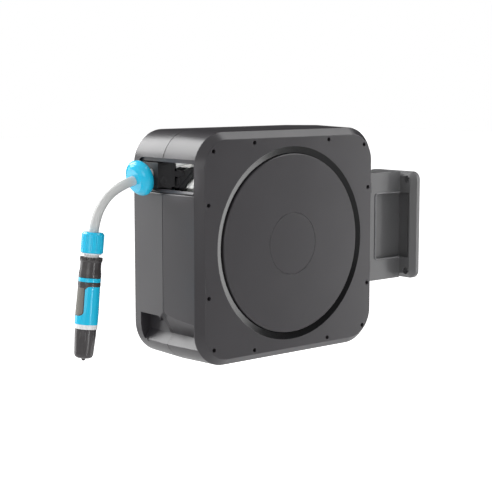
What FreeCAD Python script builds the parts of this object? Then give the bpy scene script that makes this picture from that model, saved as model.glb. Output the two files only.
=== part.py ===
import FreeCAD, Part
import math
import os

# Wall-mounted automatic garden hose reel.
# Row frame, millimetres: the origin is the centre of the wall plate's back face, +X points
# into the wall, +Z is up, and -Y is the side with the large round cover.
# The flat case swivels on a vertical pin in the wall bracket, the drum turns about Y inside
# it, and the hose leaves through the window on the side that points away from the wall.

V = FreeCAD.Vector

# Case --------------------------------------------------------------------------------------------
CASE_W = 400.0            # along X
CASE_D = 184.0            # along Y
CASE_H = 380.0            # along Z
CASE_WALL = 2.6
CORNER_R = 60.0           # corner of the outline at the seam
DRAFT = 2.0               # how far each half narrows from the seam to its bevel
BEVEL_IN = 11.5           # bevel round both large faces: inset
BEVEL_DEEP = 12.7         # and depth
EDGE_R = 1.6              # rounding of the bevel's edges
SEAM_W = 0.5              # half width of the groove along the seam
SEAM_DEEP = 1.0
CASE_DROP = 2.0           # case centre below the bracket centre
SIDE_TO_WALL = 148.0      # gap between the case and the wall

# Wall bracket and swivel -------------------------------------------------------------------------
PLATE_T = 17.0
PLATE_W = 124.0           # along Y
BRACKET_H = 198.0         # along Z
PLATE_CORNER_R = 15.0
PLATE_BEVEL = 9.0
ARM_T = 56.0              # thickness of the arm along Y
PIVOT_TO_WALL = 115.0
PIN_R = 6.0
PIN_FIT = 0.08            # radial running clearance of the case lugs on the pin
SEAT_FIT = 0.05           # radial clearance of parts that are pushed in and stay
POCKET_H = 120.0
POCKET_DEEP = 8.0
POCKET_FROM_PIVOT = 33.0
POCKET_EDGE = 12.0        # rim left between the pocket and the plate's side edges
BRACKET_WALL = 6.0
BOLT_Y = 88.0             # spacing of the wall screws
BOLT_Z = 170.0
BOLT_HOLE_R = 3.2
BOLT_SINK_R = 6.4
LUG_T = 18.0
LUG_R = 20.0
LUG_Z = 72.0              # height of each lug's middle above and below the bracket's middle
LUG_GAP = 0.6             # play above and below a lug
FITTING_T = 3.0
FITTING_W = 48.0
PIN_HEAD_R = 10.0
PIN_HEAD_H = 4.0
PIN_TAIL = 9.0
CLIP_R = 1.3
CLIP_LEG_GAP = 0.5
CLIP_REACH = 6.0

# Front cover -------------------------------------------------------------------------------------
RING_GAP = 28.5           # from the cover's groove to the nearer sides of the case
DISC_GAP = 12.5           # width of the groove
RING_DEEP = 6.0
RING_FLOOR = 3.0          # flat floor of the groove beside the cover
DISC_PROUD = 1.4
DISC_BEVEL = 1.2
HUB_CAP_R = 51.5
HUB_CAP_T = 2.4
HUB_CAP_GAP = 0.3
NUT_ROOM_R = 24.0

# Case screws -------------------------------------------------------------------------------------
SCREW_EDGE = 20.5         # screws along the top and bottom, from the edge
SCREW_CORNER_EDGE = 31.5
SCREW_SIDE_EDGE = 21.0
SCREW_TOP_X = 83.0
SCREW_HOSE_SIDE_Z = 74.0
SCREW_WALL_SIDE_Z = 84.0
SCREW_HEAD_R = 3.2
SCREW_HEAD_H = 2.4
SCREW_SHANK_R = 1.7
SCREW_L = 16.0
BOSS_R = 5.2
BOSS_HOLE_R = 3.6

# Hose window -------------------------------------------------------------------------------------
WINDOW_TOP_GAP = 45.5     # below the top of the case
WINDOW_H = 56.0
WINDOW_FRONT_GAP = 13.0   # from the front face
WINDOW_REAR_GAP = 27.0    # from the rear face
WINDOW_CORNER_R = 9.0
SILL_BEVEL = 2.4          # bevel on the window's lower edge
FRAME_IN = 6.6            # the inner frame's face, from the outside of the wall
FRAME_T = 3.5
FRAME_EDGE = 6.0          # how far the frame shows inside the window
FRAME_LAP = 7.0           # and how far it laps behind the wall
SCOOP_UP = 47.5           # crease of the hand scoop above the bottom of the case
SCOOP_DEEP = 22.0
SCOOP_INSET = 2.0         # shorter than the window at each end
SCOOP_LEDGE = 1.25        # fall of the ledge below the crease, over its depth
SCOOP_REACH = 6.0         # cutters start this far outside the case
SCOOP_RISES = [           # share of the way to the front end, and height above the crease there
    (-0.10, 31.0),
    (0.0, 37.5),
    (0.38, 31.5),
    (1.0, 28.5),
]
GRIP_RISE = 29.5          # height of the grip pocket behind the seam
GRIP_CORNER_R = 7.0
DRAIN_R = 1.8
DRAIN_Y = 55.0
DRAIN_IN = 10.0           # drain hole inside the case side, on the ledge

# Drum and hose -----------------------------------------------------------------------------------
HOSE_R = 7.75             # 1/2 inch hose, 15.5 mm outside
FLANGE_GAP = 20.0         # flange rim to the nearer sides of the case
PACK_BELOW = 12.0         # wound hose below the flange rim
PACK_DEEP = 40.0          # depth of the wound hose
HUB_WALL = 3.0
FLANGE_T = 3.5
FLANGE_RIM = 3.0
FLANGE_LIP = 1.5          # rim bead
GEAR_TO_FLANGE = 4.5
AXLE_R = 12.0
AXLE_BORE_R = 6.5
AXLE_FIT = 0.08
BUSH_R = 16.0
BUSH_L = 12.0
SPRING_BOX_GAP = 11.0     # inside the hub
SPRING_BOX_L = 62.0
SPRING_BOX_WALL = 3.0
SPRING_IN_R = 26.0
SPRING_END_GAP = 7.4      # outermost turn to the housing
SPRING_T = 1.6
SPRING_TURNS = 6
SPRING_SIDES = 20
RATCHET_R = 72.0
RATCHET_GAP = 7.4         # ratchet ring to the rear wall
RATCHET_TEETH = 24
RATCHET_TOOTH = 4.5
RATCHET_T = 4.0
RATCHET_BORE_R = 60.0
PAWL_GAP = 0.8
PAWL_LIFT = 3.0           # how far the lifted pawl's tip is above the teeth
PAWL_ARM = 34.0
PAWL_PIVOT_R = 4.0
PAWL_BOSS_R = 8.0
PAWL_SLOPE = 20.0
SWIVEL_IN = 28.0          # rotary water joint behind the front flange

# Gear train from the drum to the level-wind screw ------------------------------------------------
DRUM_TEETH = 24
IDLER_TEETH = 84
SCREW_TEETH = 16
GEAR_T = 5.0
GEAR_GAP = 1.9            # gears to the dished front wall
SCREW_IN = 24.2           # level-wind screw inside the case side
SCREW_Z = 47.1            # and above the drum axis
TOOTH_SHARE = 0.40        # tooth thickness at the pitch circle, as a share of the pitch
ADDENDUM = 0.80
DEDENDUM = 1.25
FLANK_DEG = 21.0
STUD_R = 5.0
STUD_FLANGE_R = 9.0
STUD_HEAD_R = 7.0
SCREW_R = 7.0             # level-wind screw
SCREW_CORE_R = 5.2
SCREW_BUSH_R = 9.0
SEAT_L = 6.0              # depth of the seats for the guide rod and the screw's bushes
GROOVES = 9
GROOVE_LEAN = 28.0
GROOVE_OVER = 8.0         # grooves run this far past the guide's travel

# Hose guide --------------------------------------------------------------------------------------
GUIDE_Y = 33.0            # hose in its rest place, behind the seam
GUIDE_TRAVEL = 75.0       # towards the front cover
BALL_OUT = 20.0           # ball centre outside the case side
BALL_DOWN = 77.6          # ball centre below the top of the case
BALL_R = 29.5             # across the hose
BALL_HALF = 17.0          # and half its thickness along the hose, if it had no flats
BALL_FLAT = 13.0          # flat face from the ball centre
BALL_BACK = 15.0
LEAD_GAP = 0.6            # hose lead above the wound hose
MOUTH_OUT = 1.5           # outer end of the mouth inside the case side
MOUTH_LOW = 94.5          # its underside and top
MOUTH_TOP = 134.9
MOUTH_BORE_R = 8.6
MOUTH_BOSS_R = 8.0        # screw boss on its side
MOUTH_BOSS_T = 1.2
MOUTH_BOSS_IN = 14.7
MOUTH_BOSS_DROP = 29.5
MOUTH_SLOT_L = 19.0
MOUTH_SLOT_H = 1.6
BLOCK_IN = 33.0           # guide block's face inside the case side
BLOCK_L = 22.0
BLOCK_W = 40.0
BLOCK_WALL = 3.0
BLOCK_TOP_GAP = 35.0      # below the top of the case
BLOCK_H = 58.0
BLOCK_TOP_T = 4.0
BLOCK_SLOPE = 8.0         # sloped corner between its face and its top
FINGER_R = 4.5            # eye of each finger that holds a roller's axle
ROLLER_R = 6.0
ROLLER_L = 31.0
ROLLER_AXLE_R = 2.5
ROLLER_FIT = 0.06
ROLLER_GAP = 0.4
ROLLER_IN = 48.0
ROD_R = 5.0
ROD_BUSH_R = 9.0
ROD_IN = 50.0             # guide rod inside the case side
ROD_DOWN = 27.0           # and below the top of the case
SLIDE_FIT = 0.35
ARM_PLATE_T = 3.0
ARM_DROP = 11.0           # foot below the guide block
ARM_FOOT = 14.0
ARM_EDGE = 10.0           # depth of the arm's free ends
ARM_FRONT = 43.0          # reach in front of the hose and behind it
ARM_REAR = 17.0
ARM_FRONT_UP = 33.0       # height of the ends above the foot
ARM_REAR_UP = 28.5
ARM_RIB = 3.0             # height and width of the arm's ribs
ARM_WEB_W = 6.0           # web that ties the arm to the block
ARM_WEB_H = 12.0
ARM_WEB_Y = -3.8          # its near side, from the hose

# Ball screws
BALL_SCREW_X = 18.0
BALL_SCREW_R = 2.0
BALL_SCREW_HEAD_R = 3.6
BALL_SCREW_IN = 9.0

# Hose tail: route of its centre line in the plane of the guide, (x, z) ---------------------------
# after a first run that leaves the ball in line with the guide
TAIL_FIRST_RUN = 21.3
TAIL_ROUTE = [
    (-624.8, 89.5),
    (-640.7, 74.8),
    (-651.7, 56.7),
    (-659.2, 32.8),
    (-661.9, 9.0),
]

# Hose connector and nozzle: stations along their axis from the top of the nut --------------------
NUT_L = 32.8
NUT_R = 17.8
NUT_RIBS = 14
NUT_BORE_R = 8.2
HOSE_IN_NUT = 20.5
BODY_R = 12.1             # white connector body
FLANGE_OUT_R = 15.4       # its flange below the nut
FLANGE_OUT_T = 2.4
BODY_STEP_R = 11.0
BODY_END = 66.0
BODY_BORE_R = 8.1
BODY_BORE_TOP = 48.0
COLLAR_TRAVEL = 4.0       # slides up towards the nut to let the nozzle go
COLLAR_TOP = NUT_L + COLLAR_TRAVEL + 2.6
COLLAR_END = 71.4
COLLAR_R = 18.0
COLLAR_TEETH = 10
COLLAR_GAP = 0.3
NIPPLE_R = 8.02
NIPPLE_TOP = 49.0
BLUE_TOP = 72.0
BLUE_END = 78.3
NECK_END = 85.2
GRIP_END = 145.6
GRIP_TOP_R = 17.6
GRIP_MID_R = 18.5
RING_END = 152.8
WHITE_R = 18.2
SPINDLE_R = 9.0
SPINDLE_END = 170.0
HEAD_TOP = 153.2
HEAD_END = 199.7
HEAD_TOP_R = 16.9
HEAD_END_R = 15.2
HEAD_FIT = 0.08
TIP_END = 204.0
TIP_R = 3.0
INLAY_T = 2.0
INLAY_TOP = 88.0
INLAY_END = 131.0
INLAY_X = -12.4           # the inlay covers the grip beyond this distance from the axis
INLAY_TURN = -15.0        # turned this far about the axis, from the side away from the case
INLAY_EDGE = 1.3          # dark edge round the inlay
INLAY_ARCH_R = 7.0        # and its curve up into the neck
INLAY_END_R = 6.0
HEAD_FLUTES = 9
FLUTE_R = 4.6
FLUTE_DEEP = 0.7

# Water inlet on the rear face --------------------------------------------------------------------
ELBOW_R = 9.5
ELBOW_OUT = 17.5          # axis of the inlet behind the case, clear for a hose connector
ELBOW_DROP = 34.0
NIPPLE_OUT_R = 8.6        # male nipple for a push-on hose connector
NIPPLE_OUT_L = 16.0
NIPPLE_FLANGE_R = 11.0

# Derived places ----------------------------------------------------------------------------------
CX = -SIDE_TO_WALL - CASE_W / 2
CZ = -CASE_DROP
FRONT_Y = -CASE_D / 2
REAR_Y = CASE_D / 2
HOSE_SIDE_X = CX - CASE_W / 2
WALL_SIDE_X = CX + CASE_W / 2
PIVOT_X = -PIVOT_TO_WALL
DISH_Y = FRONT_Y + RING_DEEP
DISH_BACK_Y = DISH_Y + CASE_WALL

# Radii about the drum axis, and heights above it
HALF_CASE = min(CASE_W, CASE_H) / 2
RING_R = HALF_CASE - RING_GAP
DISC_R = RING_R - DISC_GAP
FLANGE_R = HALF_CASE - FLANGE_GAP
PACK_R = FLANGE_R - PACK_BELOW
HUB_R = PACK_R - PACK_DEEP
SPRING_BOX_R = HUB_R - HUB_WALL - SPRING_BOX_GAP
SPRING_OUT_R = SPRING_BOX_R - SPRING_BOX_WALL - SPRING_END_GAP
SPRING_PITCH = (SPRING_OUT_R - SPRING_T - SPRING_IN_R) / SPRING_TURNS
WINDOW_HIGH = CASE_H / 2 - WINDOW_TOP_GAP
WINDOW_LOW = WINDOW_HIGH - WINDOW_H
WINDOW_FRONT = CASE_D / 2 - WINDOW_FRONT_GAP
WINDOW_REAR = CASE_D / 2 - WINDOW_REAR_GAP
CREASE_Z = CZ - CASE_H / 2 + SCOOP_UP
SCOOP_FRONT = WINDOW_FRONT - SCOOP_INSET
SCOOP_REAR = WINDOW_REAR - SCOOP_INSET
BALL_Z = CASE_H / 2 - BALL_DOWN
BLOCK_HIGH = CASE_H / 2 - BLOCK_TOP_GAP
BLOCK_LOW = BLOCK_HIGH - BLOCK_H

# Order of the pieces along Y, from the dished front wall to the rear wall
GEAR_FRONT_Y = DISH_BACK_Y + GEAR_GAP
GEAR_REAR_Y = GEAR_FRONT_Y + GEAR_T
FLANGE_FRONT_Y = GEAR_REAR_Y + GEAR_TO_FLANGE
DRUM_FRONT_Y = FLANGE_FRONT_Y + FLANGE_T
SEAT_Y = REAR_Y - CASE_WALL          # bottom of the guide's seats, in front and behind
RATCHET_REAR_Y = SEAT_Y - RATCHET_GAP
FLANGE_REAR_Y = RATCHET_REAR_Y - RATCHET_T
DRUM_REAR_Y = FLANGE_REAR_Y - FLANGE_T
HUB_JOINT_Y = (DRUM_FRONT_Y + DRUM_REAR_Y) / 2

os.makedirs("parts", exist_ok=True)


# Shape helpers -----------------------------------------------------------------------------------
def box(x0, x1, y0, y1, z0, z1):
    return Part.makeBox(x1 - x0, y1 - y0, z1 - z0, V(x0, y0, z0))


def rod_y(r, y0, y1, x, z):
    return Part.makeCylinder(r, y1 - y0, V(x, y0, z), V(0, 1, 0))


def rod_z(r, z0, z1, x, y=0.0):
    return Part.makeCylinder(r, z1 - z0, V(x, y, z0), V(0, 0, 1))


def tube_y(r_out, r_in, y0, y1, x, z):
    return rod_y(r_out, y0, y1, x, z).cut(rod_y(r_in, y0 - 1, y1 + 1, x, z))


def face_of(points):
    return Part.Face(Part.makePolygon([V(*p) for p in points + points[:1]]))


def prism_y(points, y0, y1):
    """Flat outline in the XZ plane, pushed along Y."""
    return face_of([(x, y0, z) for x, z in points]).extrude(V(0, y1 - y0, 0))


def prism_x(points, x0, x1):
    """Flat outline in the YZ plane, pushed along X."""
    return face_of([(x0, y, z) for y, z in points]).extrude(V(x1 - x0, 0, 0))


def turned_y(profile, x, z):
    """Turned about a line along Y: profile is a list of (radius, y)."""
    return face_of([(x + r, y, z) for r, y in profile]).revolve(V(x, 0, z), V(0, 1, 0), 360)


def joined(first, others):
    return first.fuse(list(others)).removeSplitter()


def less(first, others):
    return first.cut(list(others))


def save(name, *shapes):
    shape = shapes[0] if len(shapes) == 1 else Part.makeCompound(list(shapes))
    solids = shape.Solids
    bad = [s for s in solids if not s.isValid()]
    print(f"{name:18s} solids {len(solids):2d} volume {shape.Volume:12.1f}" + (" INVALID" if bad else ""))
    if len(solids) == 1:
        shape = solids[0]
    shape.exportStep(f"parts/{name}.step")


def mirrored_spots(x, z):
    return [(sx * x, sz * z) for sx in (-1, 1) for sz in (-1, 1)]


# Axes of the gear train, the guide rod and the pawl ----------------------------------------------
SCREW_AT = (HOSE_SIDE_X + SCREW_IN, CZ + SCREW_Z)
TRAIN_LENGTH = math.hypot(SCREW_AT[0] - CX, SCREW_Z)
TRAIN_ANGLE = math.degrees(math.atan2(SCREW_Z, SCREW_AT[0] - CX))
MODULE = 2 * TRAIN_LENGTH / (DRUM_TEETH + 2 * IDLER_TEETH + SCREW_TEETH)


def along_train(d):
    """Point at distance d from the drum axis along the gear train."""
    a = math.radians(TRAIN_ANGLE)
    return CX + d * math.cos(a), CZ + d * math.sin(a)


DRUM_GEAR_R = MODULE * DRUM_TEETH / 2
IDLER_R = MODULE * IDLER_TEETH / 2
IDLER_AT = along_train(DRUM_GEAR_R + IDLER_R)
ROD_AT = (HOSE_SIDE_X + ROD_IN, CZ + CASE_H / 2 - ROD_DOWN)
PAWL_Y0 = FLANGE_REAR_Y + 0.5
PAWL_Y1 = PAWL_Y0 + RATCHET_T - 1.0


def pawl_pivot():
    """Pivot of the lifted pawl, whose tip is above the ratchet's top tooth."""
    tip_z = RATCHET_R + PAWL_LIFT
    drop = PAWL_ARM * math.sin(math.radians(PAWL_SLOPE))
    run = PAWL_ARM * math.cos(math.radians(PAWL_SLOPE))
    return CX + run, CZ + tip_z + drop


# Hose guide axis: a line through the ball, tangent to the circle that the lead runs on -----------
LEAD_R = PACK_R + HOSE_R + LEAD_GAP
BALL_AT = (-CASE_W / 2 - BALL_OUT, BALL_Z)           # from the drum axis
BALL_DIST = math.hypot(*BALL_AT)
LEAD_LENGTH = math.sqrt(BALL_DIST ** 2 - LEAD_R ** 2)
SLOPE = math.degrees(math.atan2(LEAD_R, LEAD_LENGTH) - math.atan2(BALL_AT[1], -BALL_AT[0]))
BLOCK_X = HOSE_SIDE_X + BLOCK_IN
BLOCK_END_X = BLOCK_X + BLOCK_L


def hose_point(t):
    """Point on the hose axis, t from the ball's centre towards the drum."""
    a = math.radians(SLOPE)
    return V(CX + BALL_AT[0] + t * math.cos(a), GUIDE_Y, CZ + BALL_AT[1] + t * math.sin(a))


def hose_rod(r, t0, t1):
    return Part.makeCylinder(r, t1 - t0, hose_point(t0), hose_point(1) - hose_point(0))


def hose_turned(profile):
    """Turned about the hose axis: profile is a list of (radius, distance from the ball's centre)."""
    shape = face_of([(t, 0, r) for r, t in profile]).revolve(V(0, 0, 0), V(1, 0, 0), 360)
    shape.Placement = FreeCAD.Placement(hose_point(0), FreeCAD.Rotation(V(0, 1, 0), -SLOPE))
    return shape


# Case shells -------------------------------------------------------------------------------------
def outline(y, inset):
    """Rounded outline of the case at y, drawn in by inset."""
    half_w = CASE_W / 2 - inset
    half_h = CASE_H / 2 - inset
    r = CORNER_R - inset
    edges = []
    corners = [(1, 1, 0), (-1, 1, 90), (-1, -1, 180), (1, -1, 270)]
    previous = V(CX + half_w, y, CZ - half_h + r)
    for sx, sz, start in corners:
        cx = CX + sx * (half_w - r)
        cz = CZ + sz * (half_h - r)
        turns = [math.radians(start + a) for a in (0, 45, 90)]
        on_arc = [V(cx + r * math.cos(t), y, cz + r * math.sin(t)) for t in turns]
        edges.append(Part.LineSegment(previous, on_arc[0]).toShape())
        edges.append(Part.Arc(*on_arc).toShape())
        previous = on_arc[2]
    return Part.Wire(edges)


def half_body(side, wall):
    """One half of the case, from the seam to its large face; side is -1 for the front."""
    bevel_y = side * (CASE_D / 2 - BEVEL_DEEP - wall / 3)
    face_y = side * (CASE_D / 2 - wall)
    sides = Part.makeLoft([outline(0, wall), outline(bevel_y, wall + DRAFT)], True, True)
    bevel = Part.makeLoft([outline(bevel_y, wall + DRAFT), outline(face_y, wall + DRAFT + BEVEL_IN)], True, True)
    return joined(sides, [bevel])


def rounded_half(side):
    """Outside of one half, with the bevel's edges rounded and a groove along the seam."""
    half = half_body(side, 0.0)
    loops = (side * (CASE_D / 2 - BEVEL_DEEP), side * CASE_D / 2)
    edges = [e for e in half.Edges
             if any(all(abs(v.Point.y - y) < 0.01 for v in e.Vertexes) for y in loops)]
    half = half.makeFillet(EDGE_R, edges)
    y0, y1 = sorted((0.0, side * SEAM_W))
    outer = Part.Face(outline(y0, -SEAM_DEEP)).extrude(V(0, y1 - y0, 0))
    inner = Part.Face(outline(y0, SEAM_DEEP)).extrude(V(0, y1 - y0, 0))
    return half.cut(outer.cut(inner))


screw_spots = mirrored_spots(SCREW_TOP_X, CASE_H / 2 - SCREW_EDGE)
screw_spots += mirrored_spots(CASE_W / 2 - SCREW_CORNER_EDGE, CASE_H / 2 - SCREW_CORNER_EDGE)
side_x = CASE_W / 2 - SCREW_SIDE_EDGE
screw_spots += [(-side_x, z) for z in (-SCREW_HOSE_SIDE_Z, SCREW_HOSE_SIDE_Z)]
screw_spots += [(side_x, z) for z in (-SCREW_WALL_SIDE_Z, SCREW_WALL_SIDE_Z)]
screw_places = [(CX + x, CZ + z) for x, z in screw_spots]
SCREW_HEAD_Y = -SCREW_L / 2


def window_cut():
    """Opening for the hose, cut through the side of both shells."""
    low = CZ + WINDOW_LOW
    high = CZ + WINDOW_HIGH
    r = WINDOW_CORNER_R
    opening = box(HOSE_SIDE_X - 5, HOSE_SIDE_X + 12, -WINDOW_FRONT, WINDOW_REAR, low, high)
    rear_edges = [e for e in opening.Edges
                  if abs(e.CenterOfMass.y - WINDOW_REAR) < 0.01 and abs(e.CenterOfMass.x - HOSE_SIDE_X) < 9
                  and e.Length < 20]
    bevel = prism_y([(HOSE_SIDE_X - 2, low - SILL_BEVEL - 2), (HOSE_SIDE_X + SILL_BEVEL, low),
                     (HOSE_SIDE_X + SILL_BEVEL, low + 1), (HOSE_SIDE_X - 2, low + 1)],
                    -WINDOW_FRONT, WINDOW_REAR - r)
    return joined(opening.makeFillet(r, rear_edges), [bevel])


def scoop_outline(y, rise, deep_top, grow):
    """Section of the hand scoop at y: its face, its crease and the ledge below."""
    x = HOSE_SIDE_X
    top = CREASE_Z + rise + grow
    deep = SCOOP_DEEP + grow
    low = CREASE_Z - grow - (deep + SCOOP_REACH) * SCOOP_LEDGE
    points = [(x - SCOOP_REACH, top), (x + deep_top, top), (x + deep, CREASE_Z - grow), (x - SCOOP_REACH, low)]
    return Part.makePolygon([V(px, y, pz) for px, pz in points + points[:1]])


def scoop(grow):
    """Hand scoop low on the hose side: a sloped face in front and a deep grip pocket behind."""
    sections = [scoop_outline(-share * (SCOOP_FRONT + grow), rise, grow, grow) for share, rise in SCOOP_RISES]
    slope = Part.makeLoft(sections, True, True)
    start = -SCOOP_RISES[0][0] * SCOOP_FRONT - grow
    pocket = Part.Face(scoop_outline(start, GRIP_RISE, SCOOP_DEEP + grow, grow))
    pocket = pocket.extrude(V(0, SCOOP_REAR + grow - start, 0))
    top = CREASE_Z + GRIP_RISE + grow
    corner = [e for e in pocket.Edges if max(abs(v.Y - start) + abs(v.Z - top) for v in e.Vertexes) < 0.01]
    return joined(slope, [pocket.makeFillet(GRIP_CORNER_R + grow, corner)])


def boss_room(side):
    """Screw tubes inside one half, and what is bored out of them."""
    tubes = []
    bores = []
    for x, z in screw_places:
        if side < 0:
            tubes.append(rod_y(BOSS_R, FRONT_Y + CASE_WALL - 1.0, 0, x, z))
            bores.append(rod_y(BOSS_HOLE_R, FRONT_Y - 1, SCREW_HEAD_Y + SCREW_HEAD_H, x, z))
            bores.append(rod_y(SCREW_SHANK_R + SEAT_FIT, SCREW_HEAD_Y, 1, x, z))
        else:
            tubes.append(rod_y(BOSS_R, 0, REAR_Y - CASE_WALL + 1.0, x, z))
            bores.append(rod_y(SCREW_SHANK_R + SEAT_FIT, -1, SCREW_L, x, z))
    return tubes, bores


def seat_bosses(side):
    """Bosses that hold the ends of the guide rod and the level-wind screw."""
    wall_y = side * (CASE_D / 2 - CASE_WALL)
    y0, y1 = sorted((wall_y - side * SEAT_L, wall_y + side * CASE_WALL / 2))
    return [rod_y(ROD_BUSH_R, y0, y1, *ROD_AT), rod_y(SCREW_BUSH_R + CASE_WALL, y0, y1, *SCREW_AT)]


def guide_seats(side):
    """Blind holes in those bosses."""
    wall_y = side * (CASE_D / 2 - CASE_WALL)
    y0, y1 = sorted((wall_y - side * (SEAT_L + 1), wall_y))
    return [rod_y(ROD_R + SEAT_FIT, y0, y1, *ROD_AT), rod_y(SCREW_BUSH_R + SEAT_FIT, y0, y1, *SCREW_AT)]


def front_shell():
    backing = rod_y(RING_R + CASE_WALL, FRONT_Y, DISH_BACK_Y, CX, CZ)
    dish = turned_y([(0, FRONT_Y - 1), (RING_R, FRONT_Y - 1), (RING_R, FRONT_Y),
                     (RING_R - 3.2, FRONT_Y + 3.4), (RING_R - 6.4, FRONT_Y + 5.2),
                     (DISC_R + RING_FLOOR, DISH_Y), (0, DISH_Y)], CX, CZ)
    tubes, bores = boss_room(-1)
    axle_hole = rod_y(AXLE_R + SEAT_FIT, FRONT_Y - 1, DISH_BACK_Y + 1, CX, CZ)
    cavity = half_body(-1, CASE_WALL).cut([backing, scoop(CASE_WALL)] + tubes + seat_bosses(-1))
    shell = less(rounded_half(-1), [dish]).cut(cavity)
    return less(shell, [window_cut(), scoop(0.0), axle_hole] + bores + guide_seats(-1))


def rear_shell():
    tubes, bores = boss_room(1)
    axle_boss = rod_y(AXLE_R + 6.0, REAR_Y - CASE_WALL - 5.0, REAR_Y, CX, CZ)
    pawl_boss = rod_y(PAWL_BOSS_R, PAWL_Y1 + PAWL_GAP, REAR_Y, *pawl_pivot())
    cavity = half_body(1, CASE_WALL).cut(tubes + [axle_boss, pawl_boss, scoop(CASE_WALL)] + seat_bosses(1))
    shell = less(rounded_half(1), [cavity])
    axle_hole = rod_y(AXLE_R + SEAT_FIT, 0, REAR_Y + 1, CX, CZ)
    pawl_hole = rod_y(PAWL_PIVOT_R + SEAT_FIT, 0, REAR_Y - CASE_WALL, *pawl_pivot())
    drain_z = CREASE_Z - (SCOOP_DEEP - DRAIN_IN) * SCOOP_LEDGE
    drain = rod_z(DRAIN_R, drain_z - 8, drain_z + 8, HOSE_SIDE_X + DRAIN_IN, DRAIN_Y)
    return less(shell, [window_cut(), scoop(0.0), axle_hole, pawl_hole, drain] + bores + guide_seats(1))


# Bracket and swivel ------------------------------------------------------------------------------
def wall_bracket():
    half_h = BRACKET_H / 2
    half_w = PLATE_W / 2
    plate = box(-PLATE_T, 0, -half_w, half_w, -half_h, half_h)
    corners = [e for e in plate.Edges if abs(e.Length - PLATE_T) < 0.01]
    plate = plate.makeFillet(PLATE_CORNER_R, corners)
    rim = [e for e in plate.Edges if abs(e.CenterOfMass.x + PLATE_T) < 0.01]
    plate = plate.makeChamfer(PLATE_BEVEL, rim)
    arm = box(PIVOT_X, -PLATE_T + 1, -ARM_T / 2, ARM_T / 2, -half_h, half_h)
    body = joined(plate, [arm, rod_z(ARM_T / 2, -half_h, half_h, PIVOT_X)])
    cuts = [rod_z(PIN_R + SEAT_FIT, -half_h - 1, half_h + 1, PIVOT_X)]
    for side in (-1, 1):
        slot_half = LUG_T / 2 + LUG_GAP
        cuts.append(box(PIVOT_X - ARM_T, PIVOT_X + LUG_R + 1, -ARM_T, ARM_T,
                        side * LUG_Z - slot_half, side * LUG_Z + slot_half))
        y0, y1 = sorted((side * (ARM_T / 2 - POCKET_DEEP), side * (half_w - POCKET_EDGE)))
        pocket = box(PIVOT_X + POCKET_FROM_PIVOT, -PLATE_T + POCKET_DEEP, y0, y1, -POCKET_H / 2, POCKET_H / 2)
        near = [e for e in pocket.Edges if abs(e.CenterOfMass.x - PIVOT_X - POCKET_FROM_PIVOT) < 0.01]
        cuts.append(pocket.makeFillet(POCKET_DEEP * 0.7, near))
        hollow_y = ARM_T / 2 - POCKET_DEEP - BRACKET_WALL
        cuts.append(box(PIVOT_X + POCKET_FROM_PIVOT, 1, -hollow_y, hollow_y,
                        *sorted((side * BRACKET_WALL, side * (POCKET_H / 2 - BRACKET_WALL)))))
        cuts.append(box(PIVOT_X + POCKET_FROM_PIVOT, 1, -ARM_T / 2 + BRACKET_WALL, ARM_T / 2 - BRACKET_WALL,
                        *sorted((side * (POCKET_H / 2 + BRACKET_WALL), side * (half_h - BRACKET_WALL)))))
        for z in (-BOLT_Z / 2, BOLT_Z / 2):
            at = V(-PLATE_T - 1, side * BOLT_Y / 2, z)
            cuts.append(Part.makeCylinder(BOLT_HOLE_R, PLATE_T + 2, at, V(1, 0, 0)))
            cuts.append(Part.makeCylinder(BOLT_SINK_R, 1 + BRACKET_WALL, at, V(1, 0, 0)))
    return less(body, cuts)


def pivot_pin():
    low = -BRACKET_H / 2 - PIN_TAIL
    top = BRACKET_H / 2
    head = rod_z(PIN_HEAD_R, top, top + PIN_HEAD_H, PIVOT_X)
    start = V(PIVOT_X - 2 * PIN_R, 0, low + PIN_TAIL / 2)
    clip_hole = Part.makeCylinder(CLIP_R + SEAT_FIT, 4 * PIN_R, start, V(1, 0, 0))
    return less(joined(rod_z(PIN_R, low, top, PIVOT_X), [head]), [clip_hole])


def pin_clip():
    """Spring clip: a leg through the pin's lower end, and one bent back beside the pin."""
    z = -BRACKET_H / 2 - PIN_TAIL / 2
    bend_r = (PIN_R + CLIP_LEG_GAP + CLIP_R) / 2
    half = PIN_R + CLIP_REACH
    a = V(PIVOT_X - half, 0, z)
    b = V(PIVOT_X + half, 0, z)
    c = V(PIVOT_X + half, 2 * bend_r, z)
    d = V(PIVOT_X - half + 2 * CLIP_R, 2 * bend_r, z)
    bend = Part.Arc(b, V(b.x + bend_r, bend_r, z), c).toShape()
    path = Part.Wire([Part.LineSegment(a, b).toShape(), bend, Part.LineSegment(c, d).toShape()])
    section = Part.Wire([Part.Circle(a, b - a, CLIP_R).toShape()])
    return path.makePipeShell([section], True, True)


def hinge_fitting():
    """Plate on the case side with the two lugs that turn on the pin."""
    x0 = WALL_SIDE_X
    half_h = LUG_Z + LUG_T / 2 + FITTING_W / 3
    plate = box(x0, x0 + FITTING_T, -FITTING_W / 2, FITTING_W / 2, -half_h, half_h)
    lugs = []
    for side in (-1, 1):
        z0 = side * LUG_Z - LUG_T / 2
        lugs.append(box(x0 + 1, PIVOT_X, -LUG_R, LUG_R, z0, z0 + LUG_T))
        lugs.append(rod_z(LUG_R, z0, z0 + LUG_T, PIVOT_X))
    bore = rod_z(PIN_R + PIN_FIT, -half_h, half_h, PIVOT_X)
    holes = [Part.makeCylinder(SCREW_SHANK_R + SEAT_FIT, 10, V(x0 - 1, 0, z), V(1, 0, 0)) for z in fitting_screws()]
    return less(joined(plate, lugs), [bore] + holes)


def fitting_screws():
    return [side * (LUG_Z + offset) for side in (-1, 1) for offset in (-LUG_T, LUG_T * 0.85)]


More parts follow.
